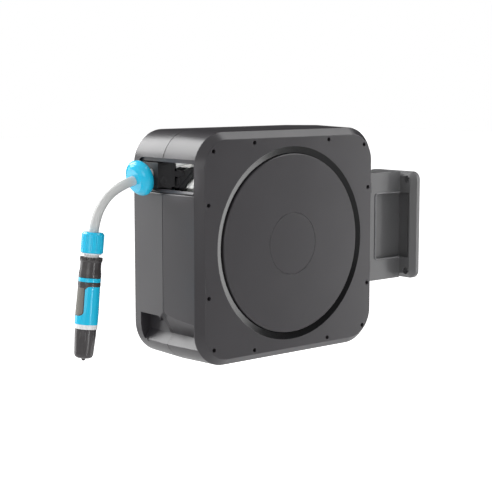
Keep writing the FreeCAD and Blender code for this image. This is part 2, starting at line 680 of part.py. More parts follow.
def hinge_screws():
    screws = []
    for z in fitting_screws():
        x = WALL_SIDE_X + FITTING_T
        head = Part.makeCylinder(SCREW_HEAD_R, SCREW_HEAD_H / 2, V(x, 0, z), V(1, 0, 0))
        shank = Part.makeCylinder(SCREW_SHANK_R, FITTING_T, V(x - FITTING_T, 0, z), V(1, 0, 0))
        screws.append(joined(head, [shank]))
    return screws


# Cover, cap, case screws, window frame -----------------------------------------------------------
def front_disc():
    face = FRONT_Y - DISC_PROUD
    seat = face + HUB_CAP_T
    cap_r = HUB_CAP_R + HUB_CAP_GAP
    return turned_y([(NUT_ROOM_R, DISH_Y), (NUT_ROOM_R, seat), (cap_r, seat), (cap_r, face),
                     (DISC_R - DISC_BEVEL, face), (DISC_R, face + DISC_BEVEL), (DISC_R, DISH_Y),
                     (DISC_R - CASE_WALL, DISH_Y), (DISC_R - CASE_WALL, seat), (cap_r + CASE_WALL, seat),
                     (cap_r + CASE_WALL, DISH_Y)], CX, CZ)


def hub_cap():
    face = FRONT_Y - DISC_PROUD
    return turned_y([(0, face + HUB_CAP_T), (HUB_CAP_R, face + HUB_CAP_T), (HUB_CAP_R, face + 0.4),
                     (HUB_CAP_R - 0.6, face - 0.2), (0, face - 0.2)], CX, CZ)


def case_screws():
    screws = []
    for x, z in screw_places:
        head = rod_y(SCREW_HEAD_R, SCREW_HEAD_Y, SCREW_HEAD_Y + SCREW_HEAD_H, x, z)
        shank = rod_y(SCREW_SHANK_R, SCREW_HEAD_Y + 1, SCREW_HEAD_Y + SCREW_L, x, z)
        screws.append(joined(head, [shank]))
    return screws


def window_frame():
    """Inner frame behind the wall, which narrows the window and guides the hose past its edges."""
    x0 = HOSE_SIDE_X + FRAME_IN
    outer = box(x0, x0 + FRAME_T, -WINDOW_FRONT - FRAME_LAP, WINDOW_REAR + FRAME_LAP,
                CZ + WINDOW_LOW - FRAME_LAP, CZ + WINDOW_HIGH + FRAME_LAP)
    inner = box(x0 - 1, x0 + FRAME_T + 1, -WINDOW_FRONT + FRAME_EDGE, WINDOW_REAR - FRAME_EDGE,
                CZ + WINDOW_LOW + FRAME_EDGE, CZ + WINDOW_HIGH - FRAME_EDGE)
    sill_z = CZ + WINDOW_LOW + FRAME_EDGE
    sill = prism_y([(x0 - 2.0, sill_z - 4.0), (x0, sill_z - 4.0), (x0, sill_z)],
                   -WINDOW_FRONT + FRAME_EDGE, WINDOW_REAR - FRAME_EDGE)
    inside = joined(half_body(-1, CASE_WALL + SEAT_FIT), [half_body(1, CASE_WALL + SEAT_FIT)])
    return joined(outer.cut(inner), [sill]).common(inside)


# Axle and water inlet ----------------------------------------------------------------------------
AXLE_FRONT_Y = FRONT_Y - DISC_PROUD + HUB_CAP_T + 0.4
ELBOW_Y = REAR_Y + ELBOW_OUT


def axle():
    body = rod_y(AXLE_R, AXLE_FRONT_Y, ELBOW_Y, CX, CZ)
    port = Part.makeCylinder(AXLE_BORE_R, AXLE_R + 1, V(CX, SWIVEL_Y, CZ), V(1, 0, 0))
    return less(body, [rod_y(AXLE_BORE_R, SWIVEL_Y - AXLE_BORE_R, ELBOW_Y + 1, CX, CZ), port])


def axle_nut():
    across = AXLE_R * 1.7
    points = [(CX + across * math.cos(math.radians(a)), CZ + across * math.sin(math.radians(a)))
              for a in range(0, 360, 60)]
    nut = prism_y(points, AXLE_FRONT_Y + 0.2, DISH_Y)
    return less(nut, [rod_y(AXLE_R, AXLE_FRONT_Y, 0, CX, CZ)])


def inlet_elbow():
    low = CZ - ELBOW_DROP
    hub = rod_y(AXLE_R + 2.5, REAR_Y, ELBOW_Y + 2, CX, CZ)
    pipe = rod_z(ELBOW_R, low, CZ, CX, ELBOW_Y)
    dome = Part.makeSphere(ELBOW_R, V(CX, ELBOW_Y, CZ))
    socket = rod_y(AXLE_R + SEAT_FIT, REAR_Y - 1, ELBOW_Y + 0.2, CX, CZ)
    water = rod_z(AXLE_BORE_R, low - 1, CZ, CX, ELBOW_Y)
    return less(joined(hub, [pipe, dome]), [socket, water])


def inlet_nipple():
    """Male nipple that a push-on hose connector fits."""
    top = CZ - ELBOW_DROP
    profile = [(AXLE_BORE_R - 1.5, 0), (NIPPLE_FLANGE_R, 0), (NIPPLE_FLANGE_R, 3), (NIPPLE_OUT_R, 3),
               (NIPPLE_OUT_R, 3 + NIPPLE_OUT_L), (NIPPLE_OUT_R - 1.5, 5 + NIPPLE_OUT_L),
               (AXLE_BORE_R - 1.5, 5 + NIPPLE_OUT_L)]
    face = face_of([(CX + r, ELBOW_Y, top - s) for r, s in profile])
    return face.revolve(V(CX, ELBOW_Y, top), V(0, 0, 1), 360)


# Drum --------------------------------------------------------------------------------------------
SWIVEL_Y = DRUM_FRONT_Y + SWIVEL_IN
SWIVEL_R = AXLE_R + 7.0
DRUM_BOSS_R = BUSH_R + 2.5


def drum_front():
    """Front flange with its rim, boss and half of the hub."""
    return turned_y([(BUSH_R, GEAR_REAR_Y), (DRUM_BOSS_R, GEAR_REAR_Y), (DRUM_BOSS_R, FLANGE_FRONT_Y),
                     (FLANGE_R - FLANGE_RIM, FLANGE_FRONT_Y),
                     (FLANGE_R - FLANGE_RIM, FLANGE_FRONT_Y - FLANGE_LIP),
                     (FLANGE_R, FLANGE_FRONT_Y - FLANGE_LIP), (FLANGE_R, DRUM_FRONT_Y), (HUB_R, DRUM_FRONT_Y),
                     (HUB_R, HUB_JOINT_Y), (HUB_R - HUB_WALL, HUB_JOINT_Y), (HUB_R - HUB_WALL, DRUM_FRONT_Y),
                     (DRUM_BOSS_R, DRUM_FRONT_Y), (DRUM_BOSS_R, GEAR_REAR_Y + BUSH_L),
                     (BUSH_R, GEAR_REAR_Y + BUSH_L)], CX, CZ)


def drum_rear():
    """Rear flange with its rim, boss and the other half of the hub."""
    return turned_y([(BUSH_R, FLANGE_REAR_Y), (FLANGE_R - FLANGE_RIM, FLANGE_REAR_Y),
                     (FLANGE_R - FLANGE_RIM, FLANGE_REAR_Y + FLANGE_LIP), (FLANGE_R, FLANGE_REAR_Y + FLANGE_LIP),
                     (FLANGE_R, DRUM_REAR_Y), (HUB_R, DRUM_REAR_Y), (HUB_R, HUB_JOINT_Y),
                     (HUB_R - HUB_WALL, HUB_JOINT_Y), (HUB_R - HUB_WALL, DRUM_REAR_Y), (DRUM_BOSS_R, DRUM_REAR_Y),
                     (DRUM_BOSS_R, FLANGE_REAR_Y - BUSH_L), (BUSH_R, FLANGE_REAR_Y - BUSH_L)], CX, CZ)


def drum_bushes():
    front = tube_y(BUSH_R, AXLE_R + AXLE_FIT, GEAR_REAR_Y, GEAR_REAR_Y + BUSH_L, CX, CZ)
    rear = tube_y(BUSH_R, AXLE_R + AXLE_FIT, FLANGE_REAR_Y - BUSH_L, FLANGE_REAR_Y, CX, CZ)
    return front, rear


def wound_hose():
    return tube_y(PACK_R, HUB_R, DRUM_FRONT_Y, DRUM_REAR_Y, CX, CZ)


def spring_housing():
    y0 = DRUM_REAR_Y - SPRING_BOX_L
    cup = tube_y(SPRING_BOX_R, SPRING_BOX_R - SPRING_BOX_WALL, y0, DRUM_REAR_Y, CX, CZ)
    floor = tube_y(SPRING_BOX_R, AXLE_R + 2.0, y0, y0 + SPRING_BOX_WALL, CX, CZ)
    return joined(cup, [floor])


def power_spring():
    """Flat spiral of steel strip, wound inside its housing."""
    steps = SPRING_TURNS * SPRING_SIDES
    outside = []
    inside = []
    for i in range(steps + 1):
        a = 2 * math.pi * i / SPRING_SIDES
        r = SPRING_IN_R + SPRING_PITCH * i / SPRING_SIDES
        outside.append((CX + (r + SPRING_T) * math.cos(a), CZ + (r + SPRING_T) * math.sin(a)))
        inside.append((CX + r * math.cos(a), CZ + r * math.sin(a)))
    y0 = DRUM_REAR_Y - SPRING_BOX_L + 2 * SPRING_BOX_WALL
    return prism_y(outside + inside[::-1], y0, FLANGE_REAR_Y - BUSH_L - 2.0)


def drum_elbow():
    """Rotary water joint on the axle, with the pipe that feeds the hose at the hub."""
    half = AXLE_BORE_R + 8.0
    sleeve = rod_y(SWIVEL_R, SWIVEL_Y - half, SWIVEL_Y + half, CX, CZ)
    pipe = Part.makeCylinder(HOSE_R, HUB_R - HUB_WALL - 0.6, V(CX, SWIVEL_Y, CZ), V(0, 0, 1))
    water = Part.makeCylinder(HOSE_R - 2.0, HUB_R, V(CX, SWIVEL_Y, CZ), V(0, 0, 1))
    return less(joined(sleeve, [pipe]), [water, rod_y(AXLE_R + AXLE_FIT, FRONT_Y, REAR_Y, CX, CZ)])


def ratchet_ring():
    points = []
    for i in range(RATCHET_TEETH):
        a = 2 * math.pi * i / RATCHET_TEETH
        b = a + 0.08 * 2 * math.pi / RATCHET_TEETH
        for angle, r in ((a, RATCHET_R), (b, RATCHET_R - RATCHET_TOOTH)):
            points.append((CX + r * math.cos(angle), CZ + r * math.sin(angle)))
    ring = prism_y(points, FLANGE_REAR_Y, FLANGE_REAR_Y + RATCHET_T)
    return less(ring, [rod_y(RATCHET_BORE_R, 0, REAR_Y, CX, CZ)])


def ratchet_pawl():
    """Pawl with a stub axle that turns in its boss; drawn lifted off the teeth."""
    px, pz = pawl_pivot()
    tip = (CX, CZ + RATCHET_R + PAWL_LIFT)
    arm = prism_y([(px, pz + 0.8 * PAWL_BOSS_R), (px + 3, pz - 0.7 * PAWL_BOSS_R),
                   (tip[0] + 5.0, tip[1]), tip, (tip[0] - 0.5, tip[1] + 5.0)], PAWL_Y0, PAWL_Y1)
    boss = rod_y(PAWL_BOSS_R, PAWL_Y0, PAWL_Y1, px, pz)
    stub = rod_y(PAWL_PIVOT_R, PAWL_Y0, REAR_Y - CASE_WALL - 1.0, px, pz)
    return joined(boss, [arm, stub])


# Gears -------------------------------------------------------------------------------------------
def gear(teeth, at, phase_deg, bore_r):
    """Spur gear with straight flanks; a tooth points along phase_deg."""
    pitch_r = MODULE * teeth / 2
    tip_r = pitch_r + ADDENDUM * MODULE
    root_r = pitch_r - DEDENDUM * MODULE
    half = TOOTH_SHARE * math.pi * MODULE / 2
    slope = math.tan(math.radians(FLANK_DEG))
    points = []
    for i in range(teeth):
        a = math.radians(phase_deg) + 2 * math.pi * i / teeth
        for r, side in ((root_r, -1), (tip_r, -1), (tip_r, 1), (root_r, 1)):
            width = half - (r - pitch_r) * slope
            angle = a + side * width / r
            points.append((at[0] + r * math.cos(angle), at[1] + r * math.sin(angle)))
    blank = prism_y(points, GEAR_FRONT_Y, GEAR_REAR_Y)
    return less(blank, [rod_y(bore_r, GEAR_FRONT_Y - 1, GEAR_REAR_Y + 1, *at)])


def drum_gear():
    return gear(DRUM_TEETH, (CX, CZ), TRAIN_ANGLE, AXLE_R + AXLE_FIT)


def idler_gear():
    blank = gear(IDLER_TEETH, IDLER_AT, TRAIN_ANGLE + 180 + 180 / IDLER_TEETH, STUD_R + AXLE_FIT)
    holes = []
    for i in range(6):
        a = math.radians(60 * i)
        r = 0.6 * IDLER_R
        holes.append(rod_y(0.2 * IDLER_R, GEAR_FRONT_Y - 1, GEAR_REAR_Y + 1,
                           IDLER_AT[0] + r * math.cos(a), IDLER_AT[1] + r * math.sin(a)))
    return less(blank, holes)


def screw_gear():
    return gear(SCREW_TEETH, SCREW_AT, TRAIN_ANGLE + 180, SCREW_CORE_R)


def idler_stud():
    flange = rod_y(STUD_FLANGE_R, DISH_BACK_Y, GEAR_FRONT_Y - 0.4, *IDLER_AT)
    pin = rod_y(STUD_R, DISH_BACK_Y, GEAR_REAR_Y + 1, *IDLER_AT)
    head = rod_y(STUD_HEAD_R, GEAR_REAR_Y + 0.4, GEAR_REAR_Y + 1.6, *IDLER_AT)
    return joined(flange, [pin, head])


def cross_screw():
    """Level-wind screw with crossed grooves, turned down at both ends for its bushes."""
    y0 = -SEAT_Y + 0.6
    y1 = SEAT_Y - 0.6
    core = rod_y(SCREW_CORE_R, y0, y1, *SCREW_AT)
    body = rod_y(SCREW_R, GEAR_REAR_Y + 0.4, SEAT_Y - SEAT_L - 0.6, *SCREW_AT)
    screw = joined(core, [body])
    rings = []
    for i in range(GROOVES):
        y = GUIDE_Y + GROOVE_OVER - i * (GUIDE_TRAVEL + 2 * GROOVE_OVER) / (GROOVES - 1)
        for lean in (-GROOVE_LEAN, GROOVE_LEAN):
            ring = tube_y(SCREW_R + 2, SCREW_R - 0.9, -1.1, 1.1, 0, 0)
            ring.Placement = FreeCAD.Placement(V(SCREW_AT[0], y, SCREW_AT[1]),
                                               FreeCAD.Rotation(V(0, 0, 1), lean))
            rings.append(ring)
    return less(screw, rings)


def screw_bushes():
    r = SCREW_CORE_R + AXLE_FIT
    front = tube_y(SCREW_BUSH_R, r, -SEAT_Y, -SEAT_Y + SEAT_L, *SCREW_AT)
    rear = tube_y(SCREW_BUSH_R, r, SEAT_Y - SEAT_L, SEAT_Y, *SCREW_AT)
    return front, rear


def guide_rod():
    return rod_y(ROD_R, -SEAT_Y, SEAT_Y, *ROD_AT)


# Hose guide --------------------------------------------------------------------------------------
def roller_at(side):
    """Centre of a guide roller; side is 1 above the hose and -1 below it."""
    t = (ROLLER_IN + BALL_OUT) / math.cos(math.radians(SLOPE))
    p = hose_point(t)
    off = side * (HOSE_R + ROLLER_GAP + ROLLER_R)
    a = math.radians(SLOPE)
    return p.x - off * math.sin(a), p.z + off * math.cos(a)


def guide_mouth(y0, y1):
    """Square sleeve that carries the hose through the window, with a screw boss on its side."""
    x0 = HOSE_SIDE_X + MOUTH_OUT
    outer = box(x0, BLOCK_X + 1, y0, y1, MOUTH_LOW, MOUTH_TOP)
    inner = box(x0 + BLOCK_WALL, BLOCK_X, y0 + BLOCK_WALL, y1 - BLOCK_WALL,
                MOUTH_LOW + BLOCK_WALL, MOUTH_TOP - BLOCK_WALL)
    boss_x = HOSE_SIDE_X + MOUTH_BOSS_IN
    boss_z = MOUTH_TOP - MOUTH_BOSS_DROP
    boss = rod_y(MOUTH_BOSS_R, y0 - MOUTH_BOSS_T, y0 + 1, boss_x, boss_z)
    screw_room = rod_y(SCREW_HEAD_R, y0 - MOUTH_BOSS_T - 1, y0, boss_x, boss_z)
    slot_x = x0 + (BLOCK_IN - MOUTH_OUT - MOUTH_SLOT_L) / 3
    slot_z = MOUTH_TOP - BLOCK_WALL
    slot = box(slot_x, slot_x + MOUTH_SLOT_L, y0 - 1, y0 + BLOCK_WALL / 2, slot_z, slot_z + MOUTH_SLOT_H)
    return less(joined(outer.cut(inner), [boss]), [screw_room, slot])


def guide_carriage():
    """Moulded carriage: mouth, roller cage, rod bush and the nut on the level-wind screw."""
    half = BLOCK_W / 2
    y0 = GUIDE_Y - half
    y1 = GUIDE_Y + half
    low = CZ + BLOCK_LOW
    high = CZ + BLOCK_HIGH
    corner = high - BLOCK_SLOPE
    cheek = [(BLOCK_X, low), (BLOCK_END_X, low), (BLOCK_END_X, high), (BLOCK_X + BLOCK_SLOPE, high),
             (BLOCK_X, corner)]
    cap = [(BLOCK_X, corner - BLOCK_WALL), (BLOCK_X, corner), (BLOCK_X + BLOCK_SLOPE, high), (BLOCK_END_X, high),
           (BLOCK_END_X, high - BLOCK_TOP_T), (BLOCK_X + BLOCK_SLOPE, high - BLOCK_TOP_T),
           (BLOCK_X + BLOCK_WALL, corner - BLOCK_WALL)]
    pieces = [guide_mouth(y0, y1)]
    pieces.append(box(BLOCK_X, BLOCK_X + BLOCK_WALL, y0, y1, low, corner))
    pieces.append(prism_y(cap, y0, y1))
    pieces.append(prism_y(cheek, y1 - BLOCK_WALL, y1))
    for side in (-1, 1):
        x, z = roller_at(side)
        pieces.append(box(BLOCK_X + 1, x, y0, y0 + BLOCK_WALL, z - FINGER_R, z + FINGER_R))
        pieces.append(rod_y(FINGER_R, y0, y0 + BLOCK_WALL, x, z))
    pieces.append(rod_y(ROD_BUSH_R, y0, y1, *ROD_AT))
    pieces.append(box(BLOCK_X - 3.0, BLOCK_X + 1.0, y0 + 6, y1 - 6, SCREW_AT[1], low + BLOCK_WALL))
    pieces.append(rod_y(SCREW_R + 4.0, y0 + 4, y1 - 4, *SCREW_AT))
    body = joined(pieces[0], pieces[1:])
    mouth_end = (BALL_OUT + BLOCK_IN + BLOCK_WALL + 2.0) / math.cos(math.radians(SLOPE))
    cuts = [hose_rod(MOUTH_BORE_R, BALL_OUT - 2.0, mouth_end),
            rod_y(ROD_R + SLIDE_FIT, y0 - 1, y1 + 1, *ROD_AT),
            rod_y(SCREW_R + SLIDE_FIT, y0 - 1, y1 + 1, *SCREW_AT)]
    for side in (-1, 1):
        cuts.append(rod_y(ROLLER_AXLE_R + ROLLER_FIT, y0 - 1, y1 + 1, *roller_at(side)))
    return less(body, cuts)


def guide_roller(side):
    x, z = roller_at(side)
    drum = rod_y(ROLLER_R, GUIDE_Y - ROLLER_L / 2, GUIDE_Y + ROLLER_L / 2, x, z)
    axle_pins = rod_y(ROLLER_AXLE_R, GUIDE_Y - BLOCK_W / 2, GUIDE_Y + BLOCK_W / 2, x, z)
    return joined(drum, [axle_pins])


def guide_arm():
    """Ribbed arm behind the cage, which keeps the wound hose from riding up to the window."""
    x0 = BLOCK_END_X
    foot_z = CZ + BLOCK_LOW - ARM_DROP
    rear_y = GUIDE_Y + ARM_REAR
    front_y = GUIDE_Y - ARM_FRONT
    front_low = (front_y, foot_z + ARM_FRONT_UP)
    front_top = (front_y, foot_z + ARM_FRONT_UP + ARM_EDGE)
    rear_top = (rear_y, foot_z + ARM_REAR_UP)
    rear_low = (rear_y, foot_z + ARM_REAR_UP - ARM_EDGE)
    foot_rear = (GUIDE_Y + ARM_FOOT / 2, foot_z)
    foot_front = (GUIDE_Y - ARM_FOOT / 2, foot_z)
    plate = prism_x([front_low, front_top, rear_top, rear_low, foot_rear, foot_front],
                    x0 + ARM_RIB, x0 + ARM_RIB + ARM_PLATE_T)

    def rib(a, b, width):
        dy, dz = b[0] - a[0], b[1] - a[1]
        k = width / 2 / math.hypot(dy, dz)
        ny, nz = -dz * k, dy * k
        return prism_x([(a[0] + ny, a[1] + nz), (b[0] + ny, b[1] + nz),
                        (b[0] - ny, b[1] - nz), (a[0] - ny, a[1] - nz)], x0, x0 + ARM_RIB + 1)

    def between(a, b, share):
        return a[0] + (b[0] - a[0]) * share, a[1] + (b[1] - a[1]) * share

    inset = 0.08
    top = between(front_top, front_low, 0.3)
    ribs = [rib(between(front_low, foot_front, inset), between(foot_front, front_low, inset), ARM_RIB),
            rib(between(top, foot_rear, inset), between(foot_rear, top, inset), ARM_RIB),
            rib(between(rear_top, foot_front, 0.12), between(rear_top, foot_front, 0.55), ARM_RIB)]
    web_y = GUIDE_Y + ARM_WEB_Y
    web_z = CZ + BLOCK_LOW
    web = box(BLOCK_X + BLOCK_WALL, x0 + ARM_RIB + 1, web_y, web_y + ARM_WEB_W, web_z, web_z + ARM_WEB_H)
    return joined(plate, ribs + [web])


def hose_lead():
    return hose_rod(HOSE_R, -BALL_FLAT, LEAD_LENGTH)


def ball_half(side):
    """Half of the stop ball that is clamped on the hose; side is -1 for the front half."""
    steps = 12
    start = math.acos(-BALL_FLAT / BALL_HALF)
    end = math.acos(BALL_BACK / BALL_HALF)
    arc = []
    for i in range(steps + 1):
        a = start + (end - start) * i / steps
        arc.append((BALL_R * math.sin(a), BALL_HALF * math.cos(a)))
    bore = HOSE_R + SEAT_FIT
    ball = hose_turned([(bore, -BALL_FLAT)] + arc + [(bore, BALL_BACK)])
    centre = hose_point(0)
    y0, y1 = sorted((GUIDE_Y, GUIDE_Y + side * 2 * BALL_R))
    keep = box(centre.x - 2 * BALL_R, centre.x + 2 * BALL_R, y0, y1, centre.z - 2 * BALL_R, centre.z + 2 * BALL_R)
    holes = []
    for up in (-1, 1):
        x, z = ball_screw_at(up)
        holes.append(rod_y(BALL_SCREW_R + SEAT_FIT, GUIDE_Y - BALL_SCREW_IN, GUIDE_Y + BALL_R, x, z))
        holes.append(rod_y(BALL_SCREW_HEAD_R + SEAT_FIT, GUIDE_Y + BALL_SCREW_IN, GUIDE_Y + BALL_R, x, z))
    return less(ball.common(keep), holes)


def ball_screw_at(up):
    a = math.radians(SLOPE)
    p = hose_point(0)
    return p.x - up * BALL_SCREW_X * math.sin(a), p.z + up * BALL_SCREW_X * math.cos(a)


def ball_screws():
    screws = []
    for up in (-1, 1):
        at = ball_screw_at(up)
        head_y = GUIDE_Y + BALL_SCREW_IN
        head = rod_y(BALL_SCREW_HEAD_R, head_y, head_y + SCREW_HEAD_H, *at)
        screws.append(joined(head, [rod_y(BALL_SCREW_R, GUIDE_Y - BALL_SCREW_IN, head_y + 1, *at)]))
    return screws


def hose_tail():
    """Free end of the hose: straight runs joined by tangent arcs."""
    pts = [hose_point(-BALL_FLAT), hose_point(-BALL_FLAT - TAIL_FIRST_RUN)]
    pts += [V(x, GUIDE_Y, z) for x, z in TAIL_ROUTE]
    edges = []
    start = pts[0]
    for before, at, after in zip(pts, pts[1:], pts[2:]):
        back = (before - at).normalize()
        ahead = (after - at).normalize()
        turn = math.pi - back.getAngle(ahead)
        run = min((before - at).Length, (after - at).Length)
        r = 0.45 * run / math.tan(turn / 2)
        print(f"hose turn {math.degrees(turn):5.1f} deg, radius {r:6.1f} mm")
        a = at + back * (0.45 * run)
        b = at + ahead * (0.45 * run)
        middle = at + (back + ahead).normalize() * (r / math.cos(turn / 2) - r)
        edges.append(Part.LineSegment(start, a).toShape())
        edges.append(Part.Arc(a, middle, b).toShape())
        start = b
    edges.append(Part.LineSegment(start, pts[-1]).toShape())
    path = Part.Wire(edges)
    section = Part.Wire([Part.Circle(pts[0], pts[1] - pts[0], HOSE_R).toShape()])
    tube = path.makePipeShell([section], True, True)
    share = tube.Volume / (math.pi * HOSE_R ** 2 * path.Length)
    print(f"hose tail {path.Length:.1f} mm long, volume share {share:.4f}")
    return tube


# Connector and nozzle: turned about the line of the hose tail's last run -------------------------
END = V(TAIL_ROUTE[-1][0], GUIDE_Y, TAIL_ROUTE[-1][1])
LAST_RUN = (END - V(TAIL_ROUTE[-2][0], GUIDE_Y, TAIL_ROUTE[-2][1])).normalize()
TILT = math.degrees(math.atan2(-LAST_RUN.x, -LAST_RUN.z))
NUT_TOP = END - LAST_RUN * HOSE_IN_NUT


def placed(shape):
    """From an upright drawing, with stations running down from the origin, to its place on the hose."""
    shape.Placement = FreeCAD.Placement(NUT_TOP, FreeCAD.Rotation(V(0, 1, 0), TILT))
    return shape


def lathe(profile):
    """Upright turned shape: profile is a list of (radius, station)."""
    return face_of([(r, 0, -s) for r, s in profile]).revolve(V(0, 0, 0), V(0, 0, 1), 360)


def ring_of(count, radius, cutter_r, s0, s1):
    """Cutters spaced round an upright piece."""
    cutters = []
    for i in range(count):
        a = 2 * math.pi * i / count
        cutters.append(Part.makeCylinder(cutter_r, s1 - s0, V(radius * math.cos(a), radius * math.sin(a), -s1)))
    return cutters


def hose_nut():
    blank = lathe([(NUT_BORE_R, 0), (NUT_R - 2.5, 0), (NUT_R, 3.5), (NUT_R, NUT_L - 1.0), (NUT_R - 1.0, NUT_L),
                   (BODY_R + SEAT_FIT, NUT_L), (BODY_R + SEAT_FIT, HOSE_IN_NUT), (NUT_BORE_R, HOSE_IN_NUT)])
    return placed(less(blank, ring_of(NUT_RIBS, NUT_R + 0.9, 1.7, 3.0, NUT_L - 5.0)))


def connector_body():
    """White body: the flange seen under the nut, and the socket inside the collar."""
    flange_end = NUT_L + FLANGE_OUT_T
    return placed(lathe([(0, HOSE_IN_NUT), (BODY_R, HOSE_IN_NUT), (BODY_R, NUT_L), (FLANGE_OUT_R, NUT_L),
                         (FLANGE_OUT_R, flange_end), (BODY_R, flange_end), (BODY_R, COLLAR_TOP),
                         (BODY_STEP_R, COLLAR_TOP + 0.5),
                         (BODY_STEP_R, BODY_END), (BODY_BORE_R, BODY_END), (BODY_BORE_R, BODY_BORE_TOP),
                         (0, BODY_BORE_TOP)]))


def connector_collar():
    """Release collar with a castellated top edge and a waisted grip."""
    r = COLLAR_R
    blank = lathe([(BODY_R + COLLAR_GAP, COLLAR_TOP), (r, COLLAR_TOP), (r, COLLAR_TOP + 5), (r - 1.4, COLLAR_TOP + 8),
                   (r - 1.4, COLLAR_TOP + 18), (r - 0.2, COLLAR_END - 6), (r - 0.2, COLLAR_END),
                   (BODY_STEP_R + COLLAR_GAP, COLLAR_END), (BODY_STEP_R + COLLAR_GAP, COLLAR_TOP + 8),
                   (BODY_R + COLLAR_GAP, COLLAR_TOP + 7)])
    return placed(less(blank, ring_of(COLLAR_TEETH, r, 1.8, COLLAR_TOP - 1, COLLAR_TOP + 3.5)))


def nozzle_nipple():
    return placed(lathe([(0, NIPPLE_TOP), (NIPPLE_R - 1, NIPPLE_TOP), (NIPPLE_R, NIPPLE_TOP + 1.5),
                         (NIPPLE_R, BLUE_TOP), (0, BLUE_TOP)]))


def nozzle_blue_ring():
    return placed(lathe([(0, BLUE_TOP), (COLLAR_R - 0.6, BLUE_TOP), (COLLAR_R - 0.2, BLUE_TOP + 0.8),
                         (COLLAR_R - 0.2, BLUE_END), (0, BLUE_END)]))


def grip_blank():
    middle = (NECK_END + GRIP_END) / 2
    return lathe([(0, NECK_END), (GRIP_TOP_R, NECK_END), (GRIP_TOP_R + 0.4, middle - 10),
                  (GRIP_MID_R, middle + 12), (GRIP_MID_R - 0.2, GRIP_END), (0, GRIP_END)])


def inlay_block(grow, top):
    """Stretch of the grip's outside that the soft inlay fills, or with its dark edge if grown."""
    face_x = INLAY_X + grow
    end = INLAY_END + grow
    block = box(-2 * GRIP_MID_R, face_x, -2 * GRIP_MID_R, 2 * GRIP_MID_R, -end, -top)
    low = [e for e in block.Edges
           if abs(e.CenterOfMass.z + end) < 0.01 and abs(e.CenterOfMass.x - face_x) < 0.01]
    block = block.makeFillet(INLAY_END_R + grow, low)
    core = Part.makeCylinder(GRIP_TOP_R - INLAY_T - grow, end - top + 2, V(0, 0, -end - 1))
    return block, core


def turned_block(block, core):
    """An inlay block without its core, turned to its place round the grip."""
    shape = block.cut(core)
    shape.rotate(V(0, 0, 0), V(0, 0, 1), INLAY_TURN)
    return shape


def soft_room():
    return turned_block(*inlay_block(0.0, INLAY_TOP))


def edge_room():
    """Room for the inlay with its dark edge, which curves up into the neck."""
    block, core = inlay_block(INLAY_EDGE, NECK_END)
    face_x = INLAY_X + INLAY_EDGE
    r = INLAY_ARCH_R
    arch = box(face_x - 1, face_x + r, -2 * GRIP_MID_R, 2 * GRIP_MID_R, -NECK_END - r, -NECK_END)
    hollow = Part.makeCylinder(r, 4 * GRIP_MID_R, V(face_x + r, -2 * GRIP_MID_R, -NECK_END - r), V(0, 1, 0))
    return turned_block(joined(block, [arch.cut(hollow)]), core)


def nozzle_neck():
    ring = lathe([(0, BLUE_END), (COLLAR_R - 0.6, BLUE_END), (COLLAR_R, BLUE_END + 2), (COLLAR_R, NECK_END - 1.5),
                  (GRIP_TOP_R, NECK_END), (0, NECK_END)])
    return placed(joined(ring, [grip_blank().common(edge_room()).cut(soft_room())]))


def nozzle_grip():
    return placed(less(grip_blank(), [edge_room()]))


def grip_inlay():
    return placed(grip_blank().common(soft_room()))


def nozzle_ring():
    """White ring with the spindle that the spray head turns on."""
    return placed(lathe([(0, GRIP_END), (WHITE_R, GRIP_END), (WHITE_R, RING_END), (SPINDLE_R, RING_END),
                         (SPINDLE_R, SPINDLE_END), (0, SPINDLE_END)]))


def nozzle_head():
    bore = SPINDLE_R + HEAD_FIT
    flutes = ring_of(HEAD_FLUTES, HEAD_TOP_R + FLUTE_R - FLUTE_DEEP, FLUTE_R, HEAD_TOP + 4.0, HEAD_END - 10.0)
    return placed(less(lathe([(bore, HEAD_TOP), (HEAD_TOP_R, HEAD_TOP), (HEAD_TOP_R, HEAD_TOP + 10),
                         (HEAD_END_R, HEAD_END - 6), (HEAD_END_R - 1.4, HEAD_END - 2), (HEAD_END_R - 5, HEAD_END),
                         (TIP_R + 4, HEAD_END), (TIP_R, HEAD_END - 3), (0, HEAD_END - 3),
                         (0, SPINDLE_END + 1), (bore, SPINDLE_END + 1)]), flutes))


def nozzle_tip():
    return placed(lathe([(0, HEAD_END - 3), (TIP_R, HEAD_END - 3), (TIP_R, TIP_END - 1), (TIP_R - 1, TIP_END),
                         (0, TIP_END)]))


# Write every piece -------------------------------------------------------------------------------
save("wall_bracket", wall_bracket())
save("pivot_pin", pivot_pin())
save("pin_clip", pin_clip())
save("front_shell", front_shell())
save("rear_shell", rear_shell())
save("front_disc", front_disc())
save("hub_cap", hub_cap())
save("case_screws", *case_screws())
save("window_frame", window_frame())
save("hinge_fitting", hinge_fitting())
save("hinge_screws", *hinge_screws())
save("axle", axle())
save("axle_nut", axle_nut())
save("inlet_elbow", inlet_elbow())
save("inlet_nipple", inlet_nipple())
save("guide_rod", guide_rod())
save("screw_bushes", *screw_bushes())
save("idler_stud", idler_stud())
save("drum_front", drum_front())
save("drum_rear", drum_rear())
save("drum_bushes", *drum_bushes())
save("wound_hose", wound_hose())
save("spring_housing", spring_housing())
save("power_spring", power_spring())
save("drum_elbow", drum_elbow())
save("ratchet_ring", ratchet_ring())
save("drum_gear", drum_gear())
save("idler_gear", idler_gear())
save("cross_screw", cross_screw())
save("screw_gear", screw_gear())
save("ratchet_pawl", ratchet_pawl())
save("guide_carriage", guide_carriage())
save("guide_arm", guide_arm())
save("roller_upper", guide_roller(1))
save("roller_lower", guide_roller(-1))
save("hose_lead", hose_lead())
save("ball_front", ball_half(-1))
save("ball_rear", ball_half(1))
save("ball_screws", *ball_screws())
save("hose_tail", hose_tail())
save("hose_nut", hose_nut())
save("connector_body", connector_body())
